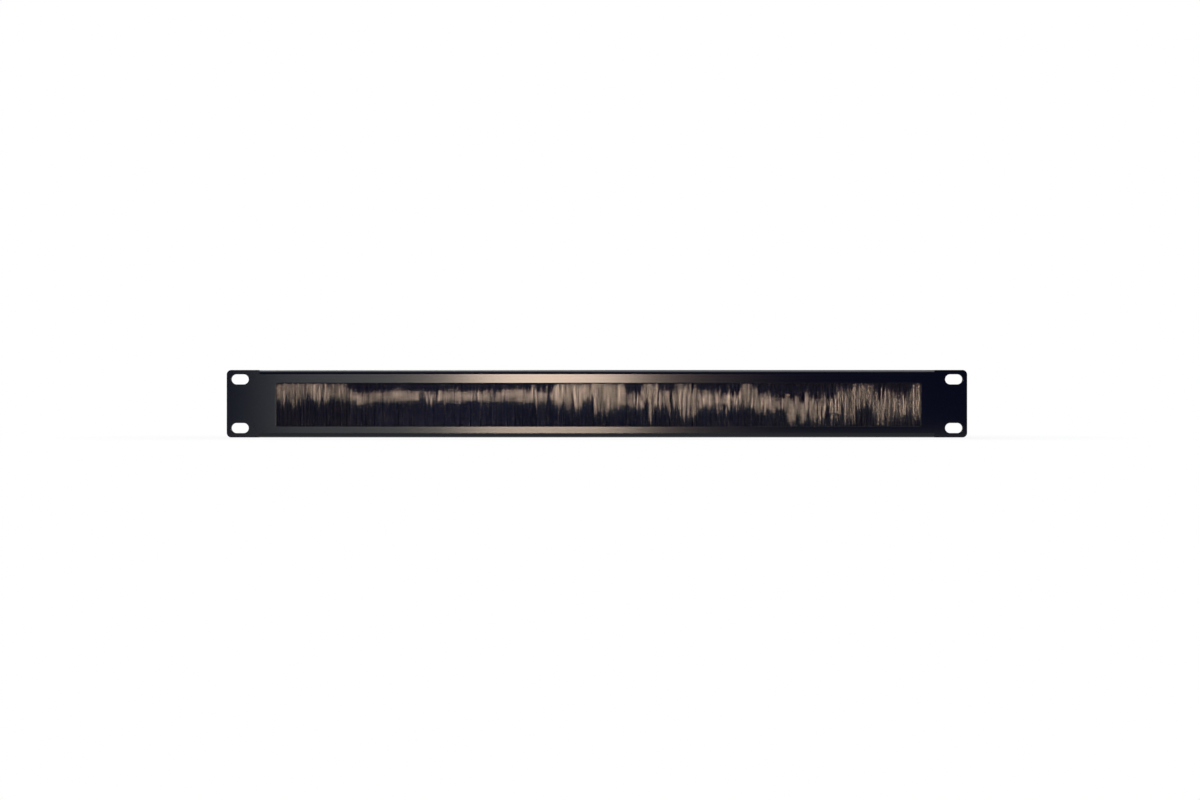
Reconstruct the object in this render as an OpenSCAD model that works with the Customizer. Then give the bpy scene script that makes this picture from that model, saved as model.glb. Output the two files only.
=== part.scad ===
// Rack brush strip panel, 19 inch wide and one rack unit high. Cables pass through its window,
// and a curtain of filaments closes round them.
// +X runs along the panel, +Y from its front face back into the rack, and +Z is up.
// The origin is the middle of the four rack slots, on the back face of the sheet, where the
// ears seat on the rack's rails.

/* [Sheet] */
// Width of the panel over its ears
panel_w = 482.6; // [380:0.1:600]
// Height of the panel
panel_h = 44; // [36:0.5:90]
// Thickness of the sheet
sheet_t = 1.5; // [1.2:0.1:2]
// Radius of the outer corners
corner_r = 3; // [1:0.5:6]
// Rounding that the coating leaves on front edges
edge_r = 0.4; // [0.1:0.05:0.6]

/* [Rack slots] */
// Length of a slot, along the panel
slot_l = 11.2; // [8:0.1:14]
// Height of a slot
slot_h = 6.5; // [5:0.1:8]
// Distance from the panel's end to a slot's centre
slot_end_inset = 8.75; // [8:0.05:12]
// Distance from the panel's top or bottom edge to a slot's centre
slot_edge_inset = 6.125; // [5:0.125:10]

/* [Window] */
// Distance from the panel's ends to the window's, before its offset
window_end_inset = 31.5; // [28:0.1:80]
// Offset of the window and the brush towards +X
window_shift = 1; // [-3:0.5:3]
// Height of the sheet above the window
top_rim = 8.75; // [8.5:0.05:14]
// Height of the sheet below the window
bottom_rim = 7.35; // [5:0.05:12]
// Radius of the window's corners
window_r = 1; // [0.5:0.5:5]

/* [Flanges] */
// Distance from the panel's ends to the flanges'
flange_end_inset = 21.3; // [18:0.1:25]
// Depth of the flanges, from the front face
flange_d = 16; // [15:0.5:30]
// Radius inside the bends
bend_r = 1.3; // [0.8:0.1:1.5]
// Chamfer on the flanges' back corners
flange_chamfer = 3; // [1:0.5:5]
// Width of the slit that frees each end of a bend, 0 where it is ripped and coated over
relief_w = 0; // [0:0.1:1.5]
// How far the slit runs past the bend
relief_past = 0.5; // [0.2:0.1:1.5]

/* [Strip brush] */
// Width of the folded channel
channel_w = 4.5; // [4:0.1:6]
// Height of the folded channel
channel_h = 4.5; // [4:0.1:5.5]
// Thickness of the channel's strip
channel_t = 0.5; // [0.4:0.05:0.6]
// Outer radius of the channel's folds
channel_r = 0.9; // [0.7:0.05:1.2]
// Height of the crimped mouth of the channel
crimp_h = 1.4; // [0.8:0.1:1.8]
// How far each wall is pressed in at the mouth
crimp_in = 0.35; // [0.1:0.05:0.45]
// Diameter of the core wire
core_d = 1.2; // [0.8:0.1:1.4]
// Thickness of the filaments folded over the wire
fold_t = 0.6; // [0.4:0.1:1]
// Thickness of the filament curtain at its tips
tip_t = 3.8; // [3:0.1:5]
// How far the tips reach below the window
tip_overlap = 3; // [1:0.1:4]
// Width of one tuft of clinging filaments
tuft_w = 4; // [2:0.5:10]
// Width of the gap between two tufts at their tips
tuft_gap = 0.4; // [0.2:0.1:1]
// Deepest split between two tufts
split_max = 14; // [4:1:16]
// How much the tips differ in length
tip_uneven = 0.6; // [0:0.1:1]

/* [Brush carrier] */
// How far the carrier reaches past each end of the window
carrier_past = 6.5; // [2:0.5:9]
// How far the brush stops short of each end of the carrier
brush_short = 1; // [0:0.5:3]
// Gap between the sheet and the carrier
carrier_gap = 1; // [0:0.1:1.4]
// Thickness of the carrier's walls
carrier_t = 1; // [0.8:0.1:1.2]
// Thickness of the two lips under the channel
lip_t = 0.8; // [0.6:0.1:1]
// How far each lip reaches in
lip_reach = 0.75; // [0.6:0.05:0.8]
// Radius of the carrier's corner in the bend
carrier_r = 1.6; // [1.5:0.1:2]
// Thickness of the leg under the flange
leg_t = 1.2; // [1:0.1:2]
// How far the leg stops short of the flange's edge
leg_short = 0.4; // [0:0.1:2]
// Gap between the channel and the carrier's walls
fit_gap = 0.05; // [0.02:0.01:0.1]

/* [Fasteners] */
// Number of studs
stud_count = 5; // [2:1:9]
// Diameter of a stud
stud_d = 3; // [2.5:0.1:3.5]
// Length of a stud below the flange
stud_l = 6; // [5.8:0.1:10]
// Diameter of a stud's flush head
stud_head_d = 4.6; // [4:0.1:6]
// Thickness of a stud's flush head
stud_head_t = 1; // [0.5:0.1:1.1]
// Distance from the carrier's ends to the end studs
stud_end_inset = 15; // [8:1:60]
// Gap round a stud in the carrier's leg
stud_gap = 0.2; // [0.1:0.05:0.4]
// Outer diameter of a washer
washer_d = 6; // [5.5:0.1:6.5]
// Thickness of a washer
washer_t = 0.5; // [0.3:0.1:1]
// Width of a nut across its flats
nut_af = 5.5; // [5:0.1:6]
// Height of a nut
nut_h = 2.4; // [1.8:0.1:3]

/* [Hidden] */
$fn = 48;
through = 5;

// sheet and flanges
top_z = panel_h / 2;
flange_l = panel_w - 2 * flange_end_inset;
flange_y = flange_d - sheet_t;
under_z = top_z - sheet_t;
bend_out = bend_r + sheet_t;

// window
window_w = panel_w - 2 * window_end_inset;
window_h = panel_h - top_rim - bottom_rim;
window_z = (bottom_rim - top_rim) / 2;
window_low_z = window_z - window_h / 2;

// carrier, hung in the corner under the top flange
carrier_l = window_w + 2 * carrier_past;
pocket_w = channel_w + 2 * fit_gap;
pocket_h = channel_h + fit_gap;
carrier_w = pocket_w + 2 * carrier_t;
carrier_h = carrier_t + pocket_h + lip_t;
carrier_low_z = under_z - carrier_h;
leg_y = flange_y - leg_short;

// brush, standing on the carrier's lips
brush_l = carrier_l - 2 * brush_short;
brush_y = carrier_gap + carrier_w / 2;
mouth_z = carrier_low_z + lip_t;
core_z = mouth_z + channel_h - channel_t - fold_t - core_d / 2;
mouth_w = channel_w - 2 * crimp_in - 2 * channel_t;
tip_z = window_low_z - tip_overlap;
tuft_count = round(brush_l / tuft_w);
tuft_pitch = brush_l / tuft_count;

// studs, on the line midway between the carrier's pocket and the flange's edge
stud_y = (carrier_gap + carrier_w + flange_y) / 2;
stud_step = (carrier_l - 2 * stud_end_inset) / (stud_count - 1);
stud_xs = [for (i = [0 : stud_count - 1])
    window_shift - carrier_l / 2 + stud_end_inset + i * stud_step];

// Rectangle with round corners, centred
module round_rect(w, h, r) {
    square([w - 2 * r, h], center = true);
    if (h > 2 * r) square([w, h - 2 * r], center = true);
    for (x = [-1, 1], y = [-1, 1])
        translate([x * (w / 2 - r), y * (h / 2 - r)]) circle(r);
}

// Places a shape drawn on the sheet: its z = 0 is the back face, and z = sheet_t the front
module on_sheet() rotate([90, 0, 0]) children();

// Carries a section, drawn in Y and Z, along X
module along_x(length, x = 0)
    translate([x, 0, 0]) rotate([90, 0, 90]) linear_extrude(length, center = true) children();

// Round bar of radius edge_r along the outline of a rectangle with round corners
module edge_bar(w, h, r) {
    straight_w = w - 2 * r;
    straight_h = h - 2 * r;
    for (s = [-1, 1]) {
        translate([0, s * h / 2, 0]) rotate([0, 90, 0])
            cylinder(r = edge_r, h = straight_w, center = true);
        if (straight_h > 0)
            translate([s * w / 2, 0, 0]) rotate([90, 0, 0])
                cylinder(r = edge_r, h = straight_h, center = true);
    }
    for (x = [-1, 1], y = [-1, 1])
        translate([x * straight_w / 2, y * straight_h / 2, 0])
            rotate([0, 0, x > 0 ? (y > 0 ? 0 : 270) : (y > 0 ? 90 : 180)])
                rotate_extrude(angle = 90) translate([r, 0]) circle(edge_r);
}

// Flat sheet whose front edge is rounded
module soft_sheet(w, h, r) {
    linear_extrude(sheet_t - edge_r) round_rect(w, h, r);
    linear_extrude(sheet_t) round_rect(w - 2 * edge_r, h - 2 * edge_r, r - edge_r);
    translate([0, 0, sheet_t - edge_r]) edge_bar(w - 2 * edge_r, h - 2 * edge_r, r - edge_r);
}

// Cutter for an opening whose front edge is rounded
module soft_cut(w, h, r) {
    translate([0, 0, -through]) linear_extrude(2 * through) round_rect(w, h, r);
    translate([0, 0, sheet_t - edge_r]) difference() {
        linear_extrude(through) round_rect(w + 2 * edge_r, h + 2 * edge_r, r + edge_r);
        edge_bar(w + 2 * edge_r, h + 2 * edge_r, r + edge_r);
    }
}

// Section of one bend and its flange, above the middle of the sheet
module bend_section() {
    translate([-sheet_t, 0]) square([sheet_t, top_z - bend_out]);
    translate([bend_r, top_z - bend_out]) intersection() {
        difference() {
            circle(bend_out);
            circle(bend_r);
        }
        translate([-bend_out, 0]) square(bend_out);
    }
    translate([bend_r, under_z]) square([flange_y - bend_r - edge_r, sheet_t]);
    translate([bend_r, under_z + edge_r])
        square([flange_y - bend_r, sheet_t - 2 * edge_r]);
    for (z = [under_z + edge_r, top_z - edge_r])
        translate([flange_y - edge_r, z]) circle(edge_r);
}

// Cuts the flanges' back corners off
module flange_chamfers() {
    for (s = [-1, 1])
        translate([s * flange_l / 2, flange_y, 0]) rotate([0, 0, 45])
            cube([flange_chamfer * sqrt(2), flange_chamfer * sqrt(2), panel_h + 1], center = true);
}

// Frees the folded length from the flat sheet, slits at its ends included
module bend_clearance() {
    for (s = [-1, 1])
        translate([0, 0, s * (top_z + through - bend_out) ])
            cube([flange_l, 2 * through, 2 * through], center = true);
    if (relief_w > 0) for (s = [-1, 1], x = [-1, 1])
        translate([x * (flange_l + relief_w) / 2, 0,
                   s * (top_z + through - bend_out - relief_past)])
            cube([relief_w, 2 * through, 2 * through], center = true);
}

// Bore and head seat of a clinch stud in the top flange
module stud_seat() {
    translate([0, 0, under_z - 1]) cylinder(d = stud_d, h = sheet_t + 2);
    translate([0, 0, top_z - stud_head_t]) cylinder(d = stud_head_d, h = stud_head_t + 1);
}

module at_studs() {
    for (x = stud_xs) translate([x, stud_y, 0]) children();
}

module front_panel() color("#1c1d20") difference() {
    union() {
        difference() {
            on_sheet() soft_sheet(panel_w, panel_h, corner_r);
            bend_clearance();
        }
        difference() {
            along_x(flange_l) {
                bend_section();
                mirror([0, 1]) bend_section();
            }
            flange_chamfers();
        }
    }
    on_sheet() translate([window_shift, window_z]) soft_cut(window_w, window_h, window_r);
    for (x = [-1, 1], z = [-1, 1])
        on_sheet()
            translate([x * (panel_w / 2 - slot_end_inset), z * (top_z - slot_edge_inset)])
                soft_cut(slot_l, slot_h, slot_h / 2);
    at_studs() stud_seat();
}

// Studs with flush heads, pressed into the top flange from above
module clinch_studs() color("#9a9c9e") at_studs() {
    translate([0, 0, under_z - stud_l]) cylinder(d = stud_d, h = stud_l + sheet_t);
    translate([0, 0, top_z - stud_head_t]) cylinder(d = stud_head_d, h = stud_head_t);
}

// Section of the carrier: a pocket open below, and a leg that lies under the flange
module carrier_section() translate([carrier_gap, 0]) difference() {
    union() {
        translate([0, carrier_low_z]) square([carrier_w, carrier_h - carrier_r]);
        translate([carrier_r, under_z - carrier_r]) square([carrier_w - carrier_r, carrier_r]);
        translate([carrier_r, under_z - carrier_r]) circle(carrier_r);
        translate([carrier_w - carrier_t, under_z - leg_t])
            square([leg_y - carrier_gap - carrier_w + carrier_t, leg_t]);
    }
    translate([carrier_t, mouth_z]) square([pocket_w, pocket_h]);
    translate([carrier_t + lip_reach, carrier_low_z - 1])
        square([pocket_w - 2 * lip_reach, lip_t + 2]);
}

module brush_carrier() color("#a6a8aa") difference() {
    along_x(carrier_l, window_shift) carrier_section();
    at_studs() translate([0, 0, under_z - leg_t - 1])
        cylinder(d = stud_d + 2 * stud_gap, h = leg_t + 2);
}

// Section that narrows to a crimped mouth at y = 0 and has round corners at its top
module crimped_section(w, h, r, mouth) {
    polygon([[-mouth / 2, 0], [mouth / 2, 0], [w / 2, crimp_h], [-w / 2, crimp_h]]);
    translate([-w / 2, crimp_h]) square([w, h - r - crimp_h]);
    translate([r - w / 2, h - 2 * r]) square([w - 2 * r, 2 * r]);
    for (x = [-1, 1]) translate([x * (w / 2 - r), h - r]) circle(r);
}

// Room inside the channel, which the folded filaments fill
module channel_room()
    crimped_section(channel_w - 2 * channel_t, channel_h - channel_t, channel_r - channel_t, mouth_w);

// Strip folded round the filaments and crimped onto them
module brush_channel() color("#b4b7b8")
    along_x(brush_l, window_shift) translate([brush_y, mouth_z]) difference() {
        crimped_section(channel_w, channel_h, channel_r, channel_w - 2 * crimp_in);
        channel_room();
    }

module core_wire() color("#8d9092")
    along_x(brush_l, window_shift) translate([brush_y, core_z]) circle(d = core_d);

// Filaments folded over the core wire, hanging down and splaying to their tips
module filament_section() difference() {
    translate([brush_y, mouth_z]) {
        channel_room();
        polygon([[-mouth_w / 2, 0], [-tip_t / 2, tip_z - mouth_z - tip_uneven],
                 [tip_t / 2, tip_z - mouth_z - tip_uneven], [mouth_w / 2, 0]]);
    }
    translate([brush_y, core_z]) circle(d = core_d);
}

// Length of tuft i past the shortest, and depth of the split after it: both wander along the brush
function tuft_drop(i) = tip_uneven * (0.5 + 0.5 * sin(137 * i));
function split_depth(i) = split_max * (0.35 + 0.65 * pow(sin(61 * i + 20), 2));

// Outline of the curtain seen from the front, split into tufts from its lower edge
module tuft_outline() {
    half_gap = tuft_gap / 2;
    top = top_z + 1;
    lower_edge = [for (i = [0 : tuft_count - 1])
        let (x = i * tuft_pitch - brush_l / 2, z = tip_z - tuft_drop(i))
        each [[x + (i > 0 ? half_gap : 0), z],
              [x + tuft_pitch - (i < tuft_count - 1 ? half_gap : 0), z],
              if (i < tuft_count - 1) [x + tuft_pitch, tip_z + split_depth(i)]]];
    polygon(concat([[brush_l / 2, top], [-brush_l / 2, top]], lower_edge));
}

module bristles() color("#15161c") intersection() {
    along_x(brush_l, window_shift) filament_section();
    on_sheet() translate([window_shift, 0, -brush_y - carrier_w])
        linear_extrude(2 * carrier_w) tuft_outline();
}

module washers() color("#c2c4c4")
    at_studs() translate([0, 0, under_z - leg_t - washer_t]) difference() {
        cylinder(d = washer_d, h = washer_t);
        translate([0, 0, -1]) cylinder(d = stud_d, h = washer_t + 2);
    }

// Hexagon nut with both faces chamfered to a circle
module nut() difference() {
    intersection() {
        cylinder(d = nut_af / cos(30), h = nut_h, $fn = 6);
        rotate_extrude() polygon([
            [0, 0], [nut_af / 2 - 0.1, 0], [nut_af / 2 + 0.6, 0.4],
            [nut_af / 2 + 0.6, nut_h - 0.4], [nut_af / 2 - 0.1, nut_h], [0, nut_h]]);
    }
    translate([0, 0, -1]) cylinder(d = stud_d, h = nut_h + 2);
}

module nuts() color("#c2c4c4")
    at_studs() translate([0, 0, under_z - leg_t - washer_t - nut_h]) nut();

front_panel();
clinch_studs();
brush_carrier();
brush_channel();
core_wire();
bristles();
washers();
nuts();
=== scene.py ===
import math

import bpy
import numpy as np
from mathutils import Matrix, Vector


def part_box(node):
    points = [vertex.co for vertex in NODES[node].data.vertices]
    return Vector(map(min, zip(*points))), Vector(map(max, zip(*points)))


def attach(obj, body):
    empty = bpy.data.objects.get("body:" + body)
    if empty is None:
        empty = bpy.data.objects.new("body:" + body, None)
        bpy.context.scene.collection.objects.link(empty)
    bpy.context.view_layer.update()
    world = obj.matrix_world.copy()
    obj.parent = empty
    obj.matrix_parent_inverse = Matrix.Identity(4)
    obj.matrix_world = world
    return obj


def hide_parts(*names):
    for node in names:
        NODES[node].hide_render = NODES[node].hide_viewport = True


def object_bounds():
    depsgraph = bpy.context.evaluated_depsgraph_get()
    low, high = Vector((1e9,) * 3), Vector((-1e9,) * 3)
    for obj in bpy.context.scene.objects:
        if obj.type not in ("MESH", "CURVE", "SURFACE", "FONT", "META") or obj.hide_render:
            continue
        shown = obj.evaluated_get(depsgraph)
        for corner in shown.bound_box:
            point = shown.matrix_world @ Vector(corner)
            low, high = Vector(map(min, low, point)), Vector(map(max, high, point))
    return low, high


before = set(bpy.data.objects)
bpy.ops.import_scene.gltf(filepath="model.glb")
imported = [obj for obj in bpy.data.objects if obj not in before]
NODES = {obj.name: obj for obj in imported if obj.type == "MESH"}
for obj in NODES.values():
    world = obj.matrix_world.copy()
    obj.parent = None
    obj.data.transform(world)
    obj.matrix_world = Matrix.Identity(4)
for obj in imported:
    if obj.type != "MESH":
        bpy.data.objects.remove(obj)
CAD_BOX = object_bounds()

bl_info = {
    "name": "Rack brush strip panel",
    "version": (1, 0, 0),
    "blender": (4, 5, 0),
    "location": "View3D > Sidebar > Brush Panel",
    "description": "Filaments, threads, finishes and a studio for a flanged rack brush panel",
    "category": "Object",
}

MM = 0.001
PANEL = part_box("front_panel")
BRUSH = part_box("bristles")
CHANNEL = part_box("brush_channel")
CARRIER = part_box("brush_carrier")
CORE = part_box("core_wire")
CORE_Y = (CORE[0].y + CORE[1].y) / 2

# Thickness of the channel's strip, half the width that the filaments fill in its mouth, and the
# least room between a filament's tip and the sheet in front of it.
CHANNEL_T = 0.5 * MM
MOUTH_HALF = 1.4 * MM
CLEARANCE = 0.1 * MM

# Start of the random numbers, so that each run hangs the same filaments.
SEED = 42

# How the filaments hang, along the panel: place from its middle, top and bottom of the stretch in
# which they face the light, and how ragged its two ends are, in millimetres. Above and below it
# they lean away from the light. With a top near or above the window's upper edge, they face the
# light all the way up.
TOP, BOTTOM, RAGGED = 1, 2, 3
HANG = np.array([
    (-215, 14, 2, 1.2), (-200, 14, 2, 1.2), (-198, 14, -4, 1), (-195, 14, 1, 1.2),
    (-187, 14, 5, 1), (-182, 14, -1, 1), (-179, 14, 2, 1), (-171, 14, 4, 1),
    (-165, 14, 3, 0.7), (-162, 8, 2, 0.5), (-153, 6, 0, 0.4), (-140, 7, 3, 0.5),
    (-130, 10, 2.5, 1), (-125, 8, 3, 0.7), (-104, 6.5, 1.5, 0.7), (-90, 8.5, 2.5, 0.6),
    (-68, 7.5, 2.5, 0.6), (-50, 9, 2.5, 1), (-37, 10, 1, 1.5), (-32, 7, 0, 1.2),
    (-28, 13, 0, 1.5), (-24, 13, 2, 1.5), (-13, 13, -3, 1.5), (-5, 14, 3, 1.5),
    (5, 15, -4, 1.8), (16, 15, -2, 1.5), (18, 8, -1, 1.4), (28, 6, -3, 1.4),
    (31, 14, -2, 1), (33, 13, 6, 0.5), (34, 15, -8, 1.5), (38, 15, -2, 1.5),
    (42, 7, -3, 1.4), (49, 6, -3, 1.4), (51, 14, -3, 1.5), (61, 11.5, -7, 2),
    (66, 9, -4, 1.5), (72, 6, -2, 1.3), (90, 6.5, -2, 1.3), (98, 12, 0, 1.3),
    (103, 11, -2, 1), (106, 5, -4, 1), (121, 4, -3, 1), (123, 5, -9, 2),
    (138, 3, -10, 2), (148, 4, -9, 2), (150, 4, -2, 1.2), (153, 3, -9, 1.5),
    (159, 9, -6, 1), (160, 10, 3, 0.8), (162, 7, -9, 1.2), (168, 9, -9, 1.2),
    (171, 13, -2, 1.2), (178, 13, -2, 1.2), (182, 11, -8, 1), (184, 4, -10, 1),
    (188, 9, -8, 1.8), (200, 6, -8, 1.8), (203, 3, -2, 1), (206, 13, -9, 1),
    (218, 13, -9, 1),
])

# Along the panel: place from its middle in millimetres, how much neighbouring filaments differ
# from each other, how dull they are, and the height in millimetres over which they turn from one
# slope to the other.
UNLIKE, DULL, TURN = 1, 2, 3
FEEL = np.array([
    (-164, 0.5, 1.1, 1.5), (-158, 0.5, 0.3, 1.3), (-140, 0.5, 0.3, 1.3), (-134, 0.5, -0.2, 1.3),
    (-106, 0.5, -0.2, 1.3), (-98, 0.5, -1.2, 1.3), (-40, 0.5, -1, 1.3), (-26, 0.45, -0.2, 2.5),
    (30, 0.45, -0.2, 2.5), (34, 0.45, 0.7, 2.5), (64, 0.45, 0.7, 2.5), (70, 0.45, 0, 2.5),
    (88, 0.45, 0, 2.5), (92, 0.45, 0.7, 2.5), (150, 0.45, 0.7, 2.5), (190, 0.45, 1.4, 2.5),
])


# ---------------------------------------------------------------- settings

class BrushSettings(bpy.types.PropertyGroup):
    """Sizes of the filaments."""

    filament_d: bpy.props.FloatProperty(
        name="Filament diameter", description="Thickness of one nylon filament",
        default=0.3 * MM, min=0.1 * MM, max=0.6 * MM, unit="LENGTH")
    filament_count: bpy.props.IntProperty(
        name="Filaments", description="Number of filament legs along the whole brush",
        default=10400, min=500, max=12000)
    sections: bpy.props.IntProperty(
        name="Sections", description="Number of pieces that the filaments are grouped in",
        default=6, min=1, max=12)
    lean: bpy.props.FloatProperty(
        name="Lean", description="Slope that is added above and below the straight stretch",
        default=0.09, min=0, max=0.3)
    face_up: bpy.props.FloatProperty(
        name="Face up", description="Slope of the straight stretch, with its foot forward",
        default=0.025, min=-0.1, max=0.1)
    wiggle: bpy.props.FloatProperty(
        name="Wiggle", description="How much a filament's slope wanders on its way down",
        default=0.034, min=0, max=0.1)
    splay: bpy.props.FloatProperty(
        name="Splay", description="Thickness of the curtain at its tips",
        default=1.6 * MM, min=1 * MM, max=5 * MM, unit="LENGTH")


class ThreadSettings(bpy.types.PropertyGroup):
    """Sizes of the threaded studs."""

    pitch: bpy.props.FloatProperty(
        name="Pitch", description="Distance from one turn of thread to the next",
        default=0.5 * MM, min=0.3 * MM, max=1 * MM, unit="LENGTH")
    depth: bpy.props.FloatProperty(
        name="Depth", description="Depth of the thread",
        default=0.27 * MM, min=0.1 * MM, max=0.5 * MM, unit="LENGTH")
    witness: bpy.props.FloatProperty(
        name="Witness line", description="Chamfer round the flush head",
        default=0.12 * MM, min=0, max=0.3 * MM, unit="LENGTH")


def colour(name, description, default):
    """A colour setting with the usual range."""
    return bpy.props.FloatVectorProperty(
        name=name, description=description, default=default, size=3, min=0, max=1,
        subtype="COLOR")


class FinishSettings(bpy.types.PropertyGroup):
    """Colours and textures of the materials."""

    coat: colour("Powder coat", "Colour of the coated sheet", (0.0022, 0.0029, 0.0095))
    coat_roughness: bpy.props.FloatProperty(
        name="Coat roughness", description="Roughness of the coated sheet",
        default=0.15, min=0.05, max=0.8)
    peel: bpy.props.FloatProperty(
        name="Orange peel", description="Width of one ripple of the coat",
        default=0.9 * MM, min=0.2 * MM, max=3 * MM, unit="LENGTH")
    nylon: colour("Nylon", "Colour of the filaments", (0.0030, 0.0046, 0.0165))
    nylon_light: colour("Nylon, worn", "Colour of the paler filaments", (0.018, 0.017, 0.024))
    nylon_roughness: bpy.props.FloatProperty(
        name="Nylon roughness", description="Roughness of the filaments",
        default=0.1, min=0.05, max=0.8)
    aluminium: colour("Aluminium", "Colour of the extruded carrier", (0.60, 0.61, 0.62))
    galvanised: colour("Galvanised strip", "Colour of the folded channel", (0.52, 0.54, 0.56))
    zinc: colour("Zinc plate", "Colour of the studs, nuts and washers", (0.66, 0.67, 0.66))
    wire: colour("Core wire", "Colour of the core wire", (0.42, 0.43, 0.44))


class StageSettings(bpy.types.PropertyGroup):
    """Camera, lamps and floor."""

    distance: bpy.props.FloatProperty(
        name="Camera distance", description="From the camera to the panel's front face",
        default=1.3, min=0.3, max=5, unit="LENGTH")
    view_width: bpy.props.FloatProperty(
        name="Width in view", description="Width that the camera sees at the panel",
        default=0.7819, min=0.2, max=2, unit="LENGTH")
    key_power: bpy.props.FloatProperty(
        name="Key lamp", description="Power of the lamp beside the camera, in watts",
        default=5.5, min=0, max=100)
    key_size: bpy.props.FloatProperty(
        name="Key size", description="Side of the square lamp beside the camera",
        default=0.2, min=0.02, max=1, unit="LENGTH")
    room_front: colour("Room in front", "Dim light from behind the camera", (0.036, 0.055, 0.19))
    room_sides: colour("Room beside", "Dim light from the sides and above", (0.05, 0.055, 0.065))
    side_power: bpy.props.FloatProperty(
        name="Side softbox", description="Power of the softbox on the left, in watts",
        default=0.7, min=0, max=100)
    top_power: bpy.props.FloatProperty(
        name="Top softbox", description="Power of the softbox above, in watts",
        default=16, min=0, max=200)
    rear_power: bpy.props.FloatProperty(
        name="Rear softbox", description="Power of the softbox above and behind, in watts",
        default=12, min=0, max=200)


# ---------------------------------------------------------------- meshes

def add_piece(name, points, faces, materials, replaced, smooth=True, tone=None):
    """Makes a mesh of points (n, 3) and faces, a list of index arrays of shape (m, 3) or (m, 4),
    and lets it ride with the panel in place of the CAD node that it stands for. Smooth is one
    answer for all faces or one for each, and tone is the number of each face's material."""
    mesh = bpy.data.meshes.new(name)
    sizes = [f.shape[1] for f in faces]
    starts = np.concatenate([np.full(len(f), s) for f, s in zip(faces, sizes)])
    loops = np.concatenate([f.ravel() for f in faces]).astype(np.int32)
    mesh.vertices.add(len(points))
    mesh.vertices.foreach_set("co", np.ascontiguousarray(points, np.float32).ravel())
    mesh.loops.add(len(loops))
    mesh.loops.foreach_set("vertex_index", loops)
    mesh.polygons.add(len(starts))
    mesh.polygons.foreach_set("loop_start", np.concatenate([[0], np.cumsum(starts)[:-1]]))
    mesh.polygons.foreach_set("use_smooth", np.broadcast_to(smooth, len(starts)))
    for material in materials:
        mesh.materials.append(material)
    if tone is not None:
        mesh.polygons.foreach_set("material_index", tone.astype(np.int32))
    mesh.update(calc_edges=True)
    mesh.validate()
    piece = bpy.data.objects.new(name, mesh)
    bpy.context.scene.collection.objects.link(piece)
    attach(piece, "root")
    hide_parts(replaced)


def tubes(paths, radius, sides, spin):
    """Closed tubes along many paths at once: paths is (tubes, rings, 3), and spin turns each tube.

    A point of a ring is centre + radius * (cos(a) * across + sin(a) * normal), where across is +X
    made square to the path, and normal is the cross product of the path's direction and across."""
    count, rings, _ = paths.shape
    along = np.gradient(paths, axis=1)
    along /= np.linalg.norm(along, axis=2, keepdims=True)
    across = np.array([1.0, 0, 0]) - along[..., :1] * along
    across /= np.linalg.norm(across, axis=2, keepdims=True)
    normal = np.cross(along, across)
    angle = spin[:, None] + np.arange(sides) * 2 * math.pi / sides
    cos, sin = np.cos(angle)[:, None, :, None], np.sin(angle)[:, None, :, None]
    points = paths[:, :, None] + radius * (cos * across[:, :, None] + sin * normal[:, :, None])
    index = np.arange(count * rings * sides).reshape(count, rings, sides)
    after = np.roll(index, -1, axis=2)
    walls = np.stack([index[:, :-1], after[:, :-1], after[:, 1:], index[:, 1:]], -1)
    caps = np.concatenate([index[:, 0, ::-1], index[:, -1]])
    return points.reshape(-1, 3), walls.reshape(-1, 4), caps


def shell_of_turns(radius, height, sides):
    """Closed solid of revolution whose radius may change with the angle: radius is (rings, sides)
    and height is (rings,). A point is (radius * cos(a), radius * sin(a), height)."""
    rings = len(height)
    angle = np.arange(sides) * 2 * math.pi / sides
    points = np.stack([
        radius * np.cos(angle), radius * np.sin(angle),
        np.broadcast_to(height[:, None], (rings, sides))], -1).reshape(-1, 3)
    index = np.arange(rings * sides).reshape(rings, sides)
    after = np.roll(index, -1, axis=1)
    walls = np.stack([index[:-1], after[:-1], after[1:], index[1:]], -1).reshape(-1, 4)
    low, high = len(points), len(points) + 1
    points = np.vstack([points, [0, 0, height[0]], [0, 0, height[-1]]])
    caps = np.concatenate([
        np.stack([np.full(sides, low), after[0], index[0]], -1),
        np.stack([np.full(sides, high), index[-1], after[-1]], -1)])
    return points, walls, caps


# ---------------------------------------------------------------- shader maths

class Value:
    """A socket or number that + - * / and ** turn into Math nodes."""

    def __init__(self, tree, socket):
        self.tree, self.socket = tree, socket

    def maths(self, operation, first, second, clamp=False):
        """Adds a Math node on two values or numbers."""
        node = self.tree.nodes.new("ShaderNodeMath")
        node.operation, node.use_clamp = operation, clamp
        for place, item in enumerate((first, second)):
            if isinstance(item, Value):
                self.tree.links.new(item.socket, node.inputs[place])
            else:
                node.inputs[place].default_value = item
        return Value(self.tree, node.outputs[0])

    def __add__(self, other):
        return self.maths("ADD", self, other)

    def __radd__(self, other):
        return self.maths("ADD", self, other)

    def __sub__(self, other):
        return self.maths("SUBTRACT", self, other)

    def __rsub__(self, other):
        return self.maths("SUBTRACT", other, self)

    def __mul__(self, other):
        return self.maths("MULTIPLY", self, other)

    def __rmul__(self, other):
        return self.maths("MULTIPLY", other, self)

    def __truediv__(self, other):
        return self.maths("DIVIDE", self, other)

    def __pow__(self, other):
        return self.maths("POWER", self, other)

    def clamp(self):
        return self.maths("ADD", self, 0.0, clamp=True)

    def above(self, limit, width):
        """0 below limit and 1 above it, with a ramp of that width."""
        return ((self - limit) / width + 0.5).clamp()


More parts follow.
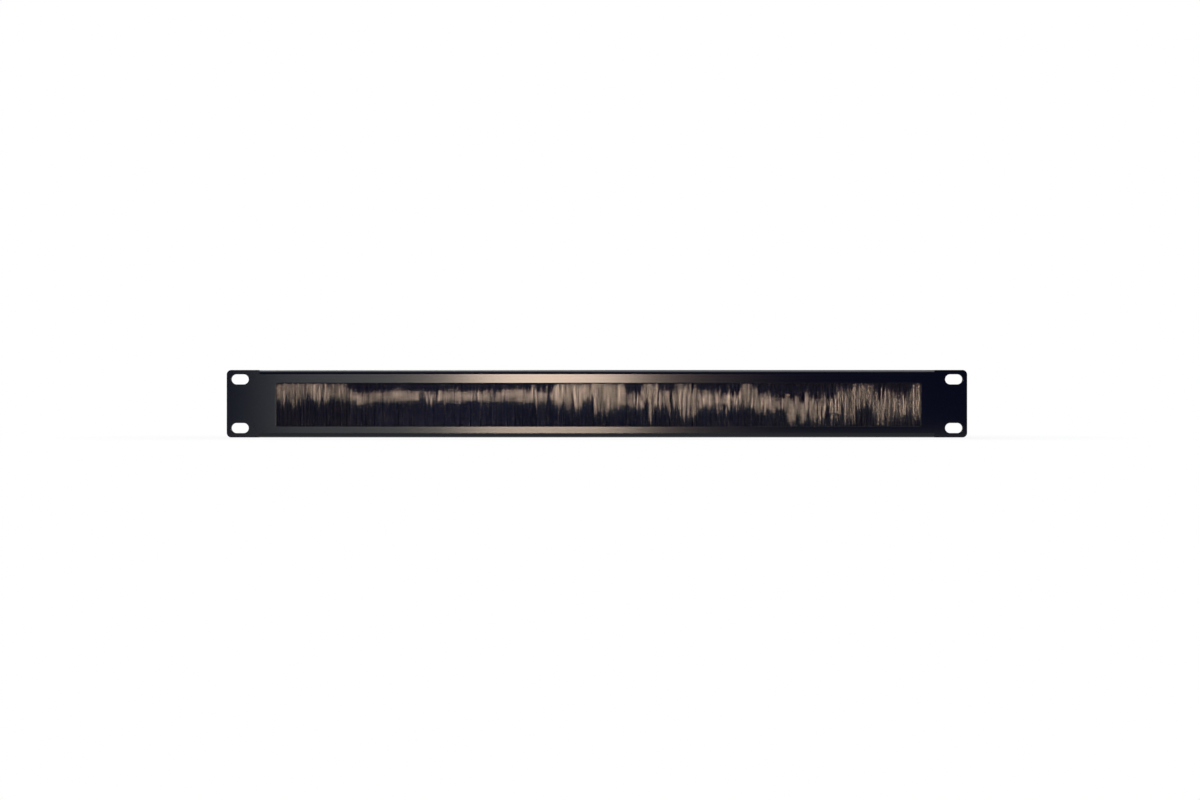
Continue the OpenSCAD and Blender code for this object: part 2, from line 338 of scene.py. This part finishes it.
class Finish:
    """A new material, built node by node."""

    def __init__(self, name):
        self.material = bpy.data.materials.new(name)
        self.material.use_nodes = True
        self.tree = self.material.node_tree
        self.shader = self.tree.nodes["Principled BSDF"]

    def node(self, kind, settings=None, output=0, **inputs):
        """Adds a node: settings are set first, then its sockets by name, then one output is returned."""
        node = self.tree.nodes.new("ShaderNode" + kind)
        for name, value in (settings or {}).items():
            setattr(node, name, value)
        for name, value in inputs.items():
            self.put(node.inputs[name.replace("_", " ")], value)
        return Value(self.tree, node.outputs[output])

    def put(self, socket, value):
        """Links a Value to a socket, or sets the socket's own number or colour."""
        if isinstance(value, Value):
            self.tree.links.new(value.socket, socket)
        elif socket.type == "RGBA":
            socket.default_value = (*value, 1.0) if len(value) == 3 else value
        else:
            socket.default_value = value

    def surface(self, **inputs):
        """Sets sockets of the Principled shader."""
        for name, value in inputs.items():
            self.put(self.shader.inputs[name.replace("_", " ")], value)

    def place(self, scale=(1, 1, 1)):
        """Object coordinates in metres, times scale."""
        where = self.node("TexCoord", output="Object")
        return self.node("Mapping", Vector=where, Scale=scale)

    def height(self):
        """Z of the point in metres."""
        where = self.node("TexCoord", output="Object")
        return self.node("SeparateXYZ", output="Z", Vector=where)

    def noise(self, size, detail=2.0, stretch=(1, 1, 1)):
        """Noise from 0 to 1 whose features are about size metres, drawn out by stretch."""
        where = self.place(tuple(1 / s for s in stretch))
        return self.node("TexNoise", Vector=where, Scale=1 / size, Detail=detail)

    def between(self, low, high, share):
        """Colour between two colours."""
        mix = self.tree.nodes.new("ShaderNodeMix")
        mix.data_type = "RGBA"
        self.put(mix.inputs["Factor"], share)
        self.put(mix.inputs[6], low)
        self.put(mix.inputs[7], high)
        return Value(self.tree, mix.outputs[2])

    def bump(self, height, strength, distance):
        """Feeds a height from 0 to 1, which stands for distance metres, to Normal."""
        self.surface(Normal=self.node(
            "Bump", Strength=strength, Distance=distance, Height=height))


def scaled(rgb, factor):
    """A colour times a number."""
    return tuple(c * factor for c in rgb)


# ---------------------------------------------------------------- finishes

def powder_coat(finish):
    """Satin black powder coat: an even peel, a finer grain in it, and a faint drift of tone."""
    f = Finish("powder_coat")
    drift = f.noise(60 * MM, detail=1.0)
    peel = f.noise(finish.peel, detail=1.5)
    grain = f.noise(finish.peel / 4, detail=1.0)
    f.surface(
        Base_Color=f.between(scaled(finish.coat, 0.85), scaled(finish.coat, 1.2), drift),
        Roughness=finish.coat_roughness + 0.05 * (grain - 0.5) + 0.04 * (drift - 0.5),
        Specular_IOR_Level=0.25)
    f.bump(0.7 * peel + 0.3 * grain, strength=0.3, distance=0.012 * MM)
    return f.material


# Share of wear in each nylon tone, and how dull a filament has to be for the next tone.
TONE_SHARES = (0.0, 0.33, 0.67, 1.0)
TONE_LIMITS = (0.1, 0.8, 1.5)


def nylon_filaments(finish):
    """Glossy black nylon in plain tones, from clean and bright to dull. Each filament has one."""
    tones = []
    for n, share in enumerate(TONE_SHARES):
        f = Finish(f"nylon_tone_{n + 1}")
        f.surface(
            Base_Color=tuple(a + (b - a) * share for a, b in zip(finish.nylon, finish.nylon_light)),
            Roughness=finish.nylon_roughness + 0.02 * share,
            IOR=1.89,
            Specular_IOR_Level=1.0 - 0.7 * share,
            Specular_Tint=(1.0, 0.93, 0.87))
        tones.append(f.material)
    return tones


def packed_filaments_shade(finish):
    """Painted shade for the filaments packed between the outer ones: darker and less glossy than the
    nylon, because so many lie together that little light returns.
    """
    f = Finish("nylon_packed_shade")
    f.surface(Base_Color=scaled(finish.nylon, 0.6), Roughness=0.9, Specular_IOR_Level=0.05)
    return f.material


def mill_aluminium(finish):
    """Mill finish extrusion: die lines along X and a soft mottle."""
    f = Finish("mill_aluminium")
    lines = f.noise(0.25 * MM, detail=3.0, stretch=(400, 1, 1))
    mottle = f.noise(9 * MM, detail=3.0)
    f.surface(
        Base_Color=f.between(scaled(finish.aluminium, 0.82), finish.aluminium, lines),
        Metallic=1.0,
        Roughness=0.26 + 0.14 * lines + 0.08 * mottle)
    f.bump(lines, strength=0.4, distance=0.01 * MM)
    return f.material


def galvanised_strip(finish):
    """Hot-dip galvanised strip: flat crystals of different brightness."""
    f = Finish("galvanised_strip")
    crystal = 3 * MM
    cells = f.node("TexVoronoi", {"feature": "F1"}, output="Color",
                   Vector=f.place(), Scale=1 / crystal)
    tone = f.node("SeparateXYZ", output="X", Vector=cells)
    f.surface(
        Base_Color=f.between(scaled(finish.galvanised, 0.75), finish.galvanised, tone),
        Metallic=1.0,
        Roughness=0.3 + 0.18 * tone)
    return f.material


def zinc_plate(finish, name, coat_above=None):
    """Bright zinc plate with faint clouding. Above coat_above the piece wears the powder coat."""
    f = Finish(name)
    cloud = f.noise(1.2 * MM, detail=3.0)
    zinc = f.between(scaled(finish.zinc, 0.8), finish.zinc, cloud)
    rough = 0.22 + 0.16 * cloud
    if coat_above is None:
        f.surface(Base_Color=zinc, Metallic=1.0, Roughness=rough)
        return f.material
    coated = f.height().above(coat_above, width=0.02 * MM)
    f.surface(
        Base_Color=f.between(zinc, finish.coat, coated),
        Metallic=1.0 - coated,
        Roughness=rough + (finish.coat_roughness - rough) * coated)
    return f.material


def drawn_wire(finish):
    """Drawn steel wire: fine lines along X."""
    f = Finish("drawn_wire")
    lines = f.noise(0.1 * MM, detail=2.0, stretch=(300, 1, 1))
    f.surface(
        Base_Color=f.between(scaled(finish.wire, 0.75), finish.wire, lines),
        Metallic=1.0,
        Roughness=0.28 + 0.12 * lines)
    return f.material


def wear(node, material):
    """Gives a CAD node its finish."""
    slots = NODES[node].data.materials
    slots.clear()
    slots.append(material)


# ---------------------------------------------------------------- filaments

def soft_step(value):
    """0 well below zero and 1 well above it, by way of a half at zero."""
    return 0.5 + 0.5 * np.tanh(value)


def clumped(rng, x, width, spread):
    """One normal random number for each clump of that width along x, given to all its filaments."""
    clump = np.floor((x - x.min()) / width).astype(int)
    return rng.normal(0, spread, clump.max() + 1)[clump]


def wandering(rng, x, width, spread):
    """A normal random number for each stop of that width along x, with straight lines between."""
    place = (x - x.min()) / width
    stops = rng.normal(0, spread, int(place.max()) + 2)
    return np.interp(place, np.arange(len(stops)), stops)


def column_at(table, column, x):
    """A column of HANG or FEEL at the places x, with straight lines between its rows."""
    return np.interp(x, table[:, 0] * MM, table[:, column])


def ragged_end(rng, x, column, clump, spread):
    """Height of one end of the straight stretch for each filament at x: HANG's column plus an
    amount of each filament's own, and, the more ragged it is there, an amount that wanders along
    the panel and one that jumps from clump to clump."""
    level = column_at(HANG, column, x) * MM + rng.normal(0, 0.6 * MM, len(x))
    return level + column_at(HANG, RAGGED, x) * MM * (
        wandering(rng, x, 3 * MM, 0.6) + clumped(rng, x, clump, spread))


def leaning(x, z, top, bottom):
    """Share, 0 to 1, of the lean that a filament has at height z: a soft step at each end of the
    stretch in which it hangs straight."""
    turn = column_at(FEEL, TURN, x) * MM
    return soft_step((bottom - z) / turn) + soft_step((z - top) / turn)


def dullness(rng, x):
    """How dull each filament is: FEEL's column plus an amount of its clump's and one of its own."""
    return column_at(FEEL, DULL, x) + clumped(rng, x, 0.7 * MM, 0.25) + rng.normal(0, 0.9, len(x))


def over_wire(x, side, share, radius):
    """Points of each leg's quarter turn t over the core wire, which are
    (x, core y + side * out * sin(t), core z + up * cos(t)). With share, out grows from the wire's
    side to the channel's wall, and up grows from the wire's top to the brush's."""
    core_z, core_r = (CORE[0].z + CORE[1].z) / 2, (CORE[1].z - CORE[0].z) / 2
    wall = (CHANNEL[1].y - CHANNEL[0].y) / 2 - CHANNEL_T - radius
    out = core_r + radius + (wall - core_r - radius) * share
    up = core_r + radius + (BRUSH[1].z - core_z - core_r - 2 * radius) * share
    turn = np.radians([0, 50, 90])
    fold = np.empty((len(x), len(turn), 3))
    fold[..., 0] = x[:, None]
    fold[..., 1] = CORE_Y + side[:, None] * out[:, None] * np.sin(turn)
    fold[..., 2] = core_z + up[:, None] * np.cos(turn)
    return fold


def filament_paths(brush, rng):
    """Centre lines of all filament legs.

    A leg starts over the core wire, follows a quarter turn round it, runs down inside the
    channel and leaves its mouth. Below that, its slope is face_up where it hangs straight, and
    lean is added above and below by soft_step. Its depth is the running sum of slope times step.
    The sheet's back face is at y = 0, and depth is shortened so that no filament reaches it.
    Filaments of one clump share their offsets."""
    count, radius = brush.filament_count, brush.filament_d / 2
    left, right = BRUSH[0].x + radius, BRUSH[1].x - radius
    mouth_z, mouth_half = CHANNEL[0].z, MOUTH_HALF - radius

    # The legs are evenly spaced, and then each is shifted by up to two spacings.
    shift = rng.uniform(-1, 1, count) * (right - left) / count * 2
    x = np.sort(np.clip(np.linspace(left, right, count) + shift, left, right))

    # A leg hangs in front of the wire or behind it, and a few more lie far out than near the wire.
    side = rng.choice([-1.0, 1.0], count)
    share = rng.uniform(0, 1, count) ** 0.8

    # The rings stand at shares of the way down to the tip. The first and the last step are short,
    # because smooth shading tilts the light at a tube's ends.
    tip_z = BRUSH[0].z + rng.uniform(0.05, 0.9, count) * MM
    down = np.array([0, 0.035, 0.13, 0.22, 0.32, 0.42, 0.52, 0.62, 0.73, 0.85, 0.985, 1.0])
    down = down + 0.4 * down * (1 - down) * rng.uniform(-1, 1, (count, 1))
    z = mouth_z + (tip_z - mouth_z)[:, None] * down
    middle = (z[:, 1:] + z[:, :-1]) / 2

    top = ragged_end(rng, x, TOP, 1 * MM, 1.0)
    bottom = ragged_end(rng, x, BOTTOM, 0.9 * MM, 1.3)
    away = leaning(x[:, None], middle, top[:, None], bottom[:, None])

    # The slope wanders with the clump and with the leg at each step, and with the leg as a whole.
    # It wanders less where the leg leans away.
    wiggle = np.stack([clumped(rng, x, 0.8 * MM, 0.9) for _ in range(middle.shape[1])], 1)
    wiggle = wiggle + rng.normal(0, 0.9, wiggle.shape) + rng.normal(0, 0.8, count)[:, None]
    slope = (brush.wiggle * column_at(FEEL, UNLIKE, x)[:, None] * wiggle * (1 - 0.7 * away)
             - brush.face_up - brush.lean * away)
    depth = np.concatenate([np.zeros((count, 1)), np.cumsum(slope * -np.diff(z), axis=1)], axis=1)
    room = CORE_Y + np.minimum(side, 0) * share * brush.splay / 2 - radius - CLEARANCE
    forward = np.maximum(-depth[:, -1], CLEARANCE)
    depth = depth * np.minimum(1, room / forward)[:, None]

    # Sideways the legs drift in wide and in narrow swathes and singly, and those at both ends of
    # the brush lean towards its middle.
    drift = wandering(rng, x, 6 * MM, 0.012) + wandering(rng, x, 2 * MM, 0.006)
    drift = drift + rng.normal(0, 0.008, count)
    end, blend, lean_in = 208 * MM, 2 * MM, 0.05
    at_end = soft_step((np.abs(x - (left + right) / 2) - end) / blend)
    drift = drift - np.sign(x) * lean_in * at_end

    spread = mouth_half + (brush.splay / 2 - mouth_half) * down
    hang = np.empty((*down.shape, 3))
    hang[..., 0] = np.clip(x[:, None] + drift[:, None] * (mouth_z - z), left, right)
    hang[..., 1] = CORE_Y + (side * share)[:, None] * spread + depth
    hang[..., 2] = z
    return np.concatenate([over_wire(x, side, share, radius), hang], axis=1)


def heart_of_brush(brush):
    """Thin closed slab through the middle of the curtain, for the filaments that are packed
    inside: its front and back are y = core y + behind + depth(x, z) -+ half. It starts inside the
    channel and stops short of the curtain's ends and tips."""
    step, levels = 1.5 * MM, 26
    behind, half = 0.2 * MM, 0.25 * MM
    x = np.arange(BRUSH[0].x + 0.6 * MM, BRUSH[1].x - 2.2 * MM, step)
    z = np.linspace(CHANNEL[0].z + 1 * MM, BRUSH[0].z + 2.2 * MM, levels)
    top, bottom = (column_at(HANG, n, x)[:, None] * MM for n in (TOP, BOTTOM))
    slope = -brush.face_up - brush.lean * leaning(x[:, None], z, top, bottom)
    depth = np.cumsum(slope, axis=1) * (z[0] - z[1])
    depth = depth - depth[:, :1] + CORE_Y + behind
    grid = np.stack([np.broadcast_to(x[:, None], depth.shape), depth,
                     np.broadcast_to(z, depth.shape)], -1)
    front, back = grid - (0, half, 0), grid + (0, half, 0)
    points = np.concatenate([front.reshape(-1, 3), back.reshape(-1, 3)])
    rows, cols = depth.shape
    far = rows * cols
    index = np.arange(far).reshape(rows, cols)
    quads = np.stack([index[:-1, :-1], index[:-1, 1:], index[1:, 1:], index[1:, :-1]], -1)
    quads = quads.reshape(-1, 4)
    rim = np.concatenate([index[:-1, 0], index[-1, :-1], index[:0:-1, -1], index[0, :0:-1]])
    after = np.roll(rim, -1)
    wall = np.stack([rim, after, after + far, rim + far], -1)
    return points, [np.concatenate([quads, quads[:, ::-1] + far, wall])]


class RACKBRUSH_OT_filaments(bpy.types.Operator):
    """Hang the nylon filaments from the channel"""

    bl_idname = "rack_brush.filaments"
    bl_label = "Filaments"

    def execute(self, context):
        brush, finish = context.scene.rack_brush, context.scene.rack_finish
        rng = np.random.default_rng(SEED)
        paths = filament_paths(brush, rng)
        spin = rng.uniform(0, 2 * math.pi, len(paths))
        tone = np.digitize(dullness(rng, paths[:, 0, 0]), TONE_LIMITS)
        tones = nylon_filaments(finish)
        for n, part in enumerate(np.array_split(np.arange(len(paths)), brush.sections)):
            points, walls, caps = tubes(paths[part], brush.filament_d / 2, sides=3, spin=spin[part])
            is_wall = np.arange(len(walls) + len(caps)) < len(walls)
            tone_of_face = np.concatenate([np.repeat(tone[part], len(walls) // len(part)),
                                           np.tile(tone[part], 2)])
            add_piece(f"filaments_{n + 1}", points, [walls, caps], tones,
                      replaced="bristles", smooth=is_wall, tone=tone_of_face)
        # The slab stands for the filaments packed inside the curtain and wears painted shade, darker
        # than the nylon.
        points, faces = heart_of_brush(brush)
        add_piece("filament_heart", points, faces, [packed_filaments_shade(finish)],
                  replaced="bristles", smooth=False)
        return {"FINISHED"}


# ---------------------------------------------------------------- fasteners

def stud_shape(thread, sides=40):
    """A flush-head stud with its axis on Z: its radius follows a triangular thread,
    r = crest - depth * |2 * frac(z / pitch + a / 2 pi) - 1|, which fades at its point and
    below its head, and the head is a chamfered disc."""
    low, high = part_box("clinch_studs")
    crest, head_r, head_t = 1.5 * MM, 2.3 * MM, 1 * MM
    point_fade, head_fade, rings_per_turn = 0.5 * MM, 0.6 * MM, 7
    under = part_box("brush_carrier")[1].z
    angle = np.arange(sides) / sides
    z = np.arange(low.z, under, thread.pitch / rings_per_turn)
    phase = (z[:, None] / thread.pitch + angle) % 1
    fade = np.clip((z - low.z) / point_fade, 0, 1) * np.clip((under - z) / head_fade, 0, 1)
    fade = fade[:, None]
    radius = crest - thread.depth * (fade * np.abs(2 * phase - 1) + (1 - fade) * 0.5)
    # The point's first ring lies a little deeper than the thread's root.
    radius[0] = crest - thread.depth * 1.2
    plain = [(crest, under), (crest, high.z - head_t), (head_r, high.z - head_t),
             (head_r, high.z - thread.witness), (head_r - thread.witness, high.z)]
    height = np.concatenate([z, [p[1] for p in plain]])
    radius = np.vstack([radius, np.repeat([[p[0]] for p in plain], sides, axis=1)])
    return shell_of_turns(radius, height, sides)


def node_centres(node, apart=20 * MM):
    """Middle of each separate solid of a node that stands in a row along X."""
    mesh = NODES[node].data
    co = np.empty(len(mesh.vertices) * 3)
    mesh.vertices.foreach_get("co", co)
    co = co.reshape(-1, 3)
    co = co[np.argsort(co[:, 0])]
    groups = np.split(co, np.flatnonzero(np.diff(co[:, 0]) > apart) + 1)
    return [(g.min(0) + g.max(0)) / 2 for g in groups]


class RACKBRUSH_OT_studs(bpy.types.Operator):
    """Cut the threads of the clinch studs"""

    bl_idname = "rack_brush.studs"
    bl_label = "Threaded studs"

    def execute(self, context):
        points, walls, caps = stud_shape(context.scene.rack_thread)
        centres = node_centres("clinch_studs")
        if len(centres) < 2:
            raise RuntimeError("the studs' node has fewer solids than a row needs")
        many = [points + (c[0], c[1], 0) for c in centres]
        shift = np.arange(len(centres)) * len(points)
        material = zinc_plate(context.scene.rack_finish, "stud_steel",
                              coat_above=CARRIER[1].z + 0.3 * MM)
        add_piece("threaded_studs", np.concatenate(many),
                  [np.concatenate([walls + s for s in shift]),
                   np.concatenate([caps + s for s in shift])],
                  [material], replaced="clinch_studs", smooth=False)
        return {"FINISHED"}


class RACKBRUSH_OT_finishes(bpy.types.Operator):
    """Give the sheet, the carrier, the channel and the fasteners their finishes"""

    bl_idname = "rack_brush.finishes"
    bl_label = "Finishes"

    def execute(self, context):
        finish = context.scene.rack_finish
        wear("front_panel", powder_coat(finish))
        wear("brush_carrier", mill_aluminium(finish))
        wear("brush_channel", galvanised_strip(finish))
        wear("core_wire", drawn_wire(finish))
        plate = zinc_plate(finish, "fastener_zinc")
        wear("washers", plate)
        wear("nuts", plate)
        return {"FINISHED"}


# ---------------------------------------------------------------- stage

def aim(thing, target):
    """Turns a lamp so that its -Z looks at target."""
    way = np.array(target, float) - np.array(thing.location)
    side = math.hypot(way[0], way[1])
    thing.rotation_euler = (math.atan2(side, -way[2]), 0, math.atan2(-way[0], way[1]))


def lamp(name, place, target, size, power, tint):
    """A square softbox of that size in metres and power in watts, which the camera doesn't see."""
    data = bpy.data.lights.new(name, "AREA")
    data.shape, data.size, data.energy, data.color = "SQUARE", size, power, tint
    thing = bpy.data.objects.new(name, data)
    thing.location = place
    aim(thing, target)
    thing.visible_camera = False
    bpy.context.scene.collection.objects.link(thing)


def pale_floor(z, edge):
    """A wide pale table top whose near edge lies at y = edge. It is white to the camera, to gloss
    and to glass, and round the panel it keeps the panel's shadow."""
    reach = 30.0
    near_white, shadow_reach, shadow_fade = 0.84, 0.07, 0.1
    mesh = bpy.data.meshes.new("floor")
    corners = [(-reach, edge, z), (reach, edge, z), (reach, reach, z), (-reach, reach, z)]
    mesh.from_pydata(corners, [], [(0, 1, 2, 3)])
    floor = bpy.data.objects.new("floor", mesh)
    bpy.context.scene.collection.objects.link(floor)
    f = Finish("floor")
    f.surface(Base_Color=(0.8, 0.8, 0.8), Roughness=0.9, Specular_IOR_Level=0.0)
    path = f.tree.nodes.new("ShaderNodeLightPath")
    seen = sum(Value(f.tree, path.outputs[f"Is {kind} Ray"])
               for kind in ("Camera", "Glossy", "Transmission"))
    where = f.node("TexCoord", output="Object")
    x = f.node("SeparateXYZ", output="X", Vector=where)
    y = f.node("SeparateXYZ", output="Y", Vector=where)
    past_end = x.maths("MAXIMUM", x.maths("ABSOLUTE", x, 0.0) - PANEL[1].x, 0.0)
    far = (past_end * past_end + y * y) ** 0.5
    glow = f.node("Emission", Color=(1, 1, 1), Strength=1.0)
    white = near_white + (1 - near_white) * far.above(shadow_reach, shadow_fade)
    mix = f.node("MixShader", Fac=white * seen.clamp())
    f.tree.links.new(f.shader.outputs[0], mix.socket.node.inputs[1])
    f.tree.links.new(glow.socket, mix.socket.node.inputs[2])
    f.tree.links.new(mix.socket, f.tree.nodes["Material Output"].inputs["Surface"])
    mesh.materials.append(f.material)


def studio_world(front, sides):
    """White to the camera. Other rays meet the same white backdrop behind the panel, where y is
    large, a dim room beside it, and the cool dark end of that room in front of it."""
    world = bpy.data.worlds.new("studio")
    world.use_nodes = True
    tree = world.node_tree
    tree.nodes.clear()
    out = tree.nodes.new("ShaderNodeOutputWorld")
    back = tree.nodes.new("ShaderNodeBackground")
    where = tree.nodes.new("ShaderNodeTexCoord")
    axes = tree.nodes.new("ShaderNodeSeparateXYZ")
    path = tree.nodes.new("ShaderNodeLightPath")
    tree.links.new(where.outputs["Generated"], axes.inputs[0])
    behind = Value(tree, axes.outputs["Y"])
    camera = Value(tree, path.outputs["Is Camera Ray"])
    backdrop = behind.above(0.62, width=0.3)
    white = backdrop + (1.0 - backdrop) * camera
    mixes = []
    for low, high, share in ((front, sides, behind.above(-0.8, width=0.2)), (None, (1, 1, 1), white)):
        mix = tree.nodes.new("ShaderNodeMix")
        mix.data_type = "RGBA"
        if low:
            mix.inputs[6].default_value = (*low, 1)
        else:
            tree.links.new(mixes[-1].outputs[2], mix.inputs[6])
        mix.inputs[7].default_value = (*high, 1)
        tree.links.new(share.socket, mix.inputs["Factor"])
        mixes.append(mix)
    tree.links.new(mixes[-1].outputs[2], back.inputs["Color"])
    tree.links.new(back.outputs[0], out.inputs["Surface"])
    bpy.context.scene.world = world


class RACKBRUSH_OT_stage(bpy.types.Operator):
    """Set up the floor, the lamps and the camera"""

    bl_idname = "rack_brush.stage"
    bl_label = "Stage"

    def execute(self, context):
        stage = context.scene.rack_stage
        front = PANEL[0].y
        floor_gap, apron = 0.05 * MM, 120 * MM
        pale_floor(CAD_BOX[0].z - floor_gap, front - apron)
        studio_world(stage.room_front, stage.room_sides)
        lamp("key", place=(-66 * MM, front - stage.distance, 58 * MM), target=(0, front, 0),
             size=stage.key_size, power=stage.key_power, tint=(1.0, 0.785, 0.61))
        lamp("side", place=(-0.27, front - 1.25, 0.02), target=(-0.1, front, 0),
             size=0.3, power=stage.side_power, tint=(0.92, 1.0, 0.96))
        lamp("top", place=(0, -0.1, 1.6), target=(0, 0, 0),
             size=1.2, power=stage.top_power, tint=(0.97, 0.98, 1.0))
        lamp("rear", place=(-0.5, 1.2, 1.0), target=(0, 0, 0),
             size=0.9, power=stage.rear_power, tint=(0.98, 0.99, 1.0))
        data = bpy.data.cameras.new("camera")
        data.sensor_width = 36
        data.lens = data.sensor_width * stage.distance / stage.view_width
        data.clip_end = 100
        camera = bpy.data.objects.new("camera", data)
        to_the_right, up = 2 * MM, 2.4 * MM
        camera.location = (to_the_right, front - stage.distance, up)
        camera.rotation_euler = (math.pi / 2, 0, 0)
        context.scene.collection.objects.link(camera)
        context.scene.camera = camera
        context.scene.view_settings.view_transform = "Standard"
        return {"FINISHED"}


# ---------------------------------------------------------------- add-on

STEPS = (RACKBRUSH_OT_stage, RACKBRUSH_OT_finishes, RACKBRUSH_OT_studs, RACKBRUSH_OT_filaments)
GROUPS = {"rack_brush": BrushSettings, "rack_thread": ThreadSettings,
          "rack_finish": FinishSettings, "rack_stage": StageSettings}


class RACKBRUSH_PT_panel(bpy.types.Panel):
    """The steps and their settings, in the sidebar of the 3D view"""

    bl_idname = "RACKBRUSH_PT_panel"
    bl_label = "Brush Panel"
    bl_space_type = "VIEW_3D"
    bl_region_type = "UI"
    bl_category = "Brush Panel"

    def draw(self, context):
        for name, group in GROUPS.items():
            box = self.layout.box()
            box.label(text=group.__doc__)
            for key in group.__annotations__:
                box.prop(getattr(context.scene, name), key)
        for step in STEPS:
            self.layout.operator(step.bl_idname)


def register():
    for group in GROUPS.values():
        bpy.utils.register_class(group)
    for step in STEPS:
        bpy.utils.register_class(step)
    bpy.utils.register_class(RACKBRUSH_PT_panel)
    for name, group in GROUPS.items():
        setattr(bpy.types.Scene, name, bpy.props.PointerProperty(type=group))


def unregister():
    for name in GROUPS:
        delattr(bpy.types.Scene, name)
    bpy.utils.unregister_class(RACKBRUSH_PT_panel)
    for step in STEPS:
        bpy.utils.unregister_class(step)
    for group in GROUPS.values():
        bpy.utils.unregister_class(group)


def main():
    register()
    for step in STEPS:
        group, name = step.bl_idname.split(".")
        getattr(getattr(bpy.ops, group), name)()


if __name__ == "__main__":
    main()
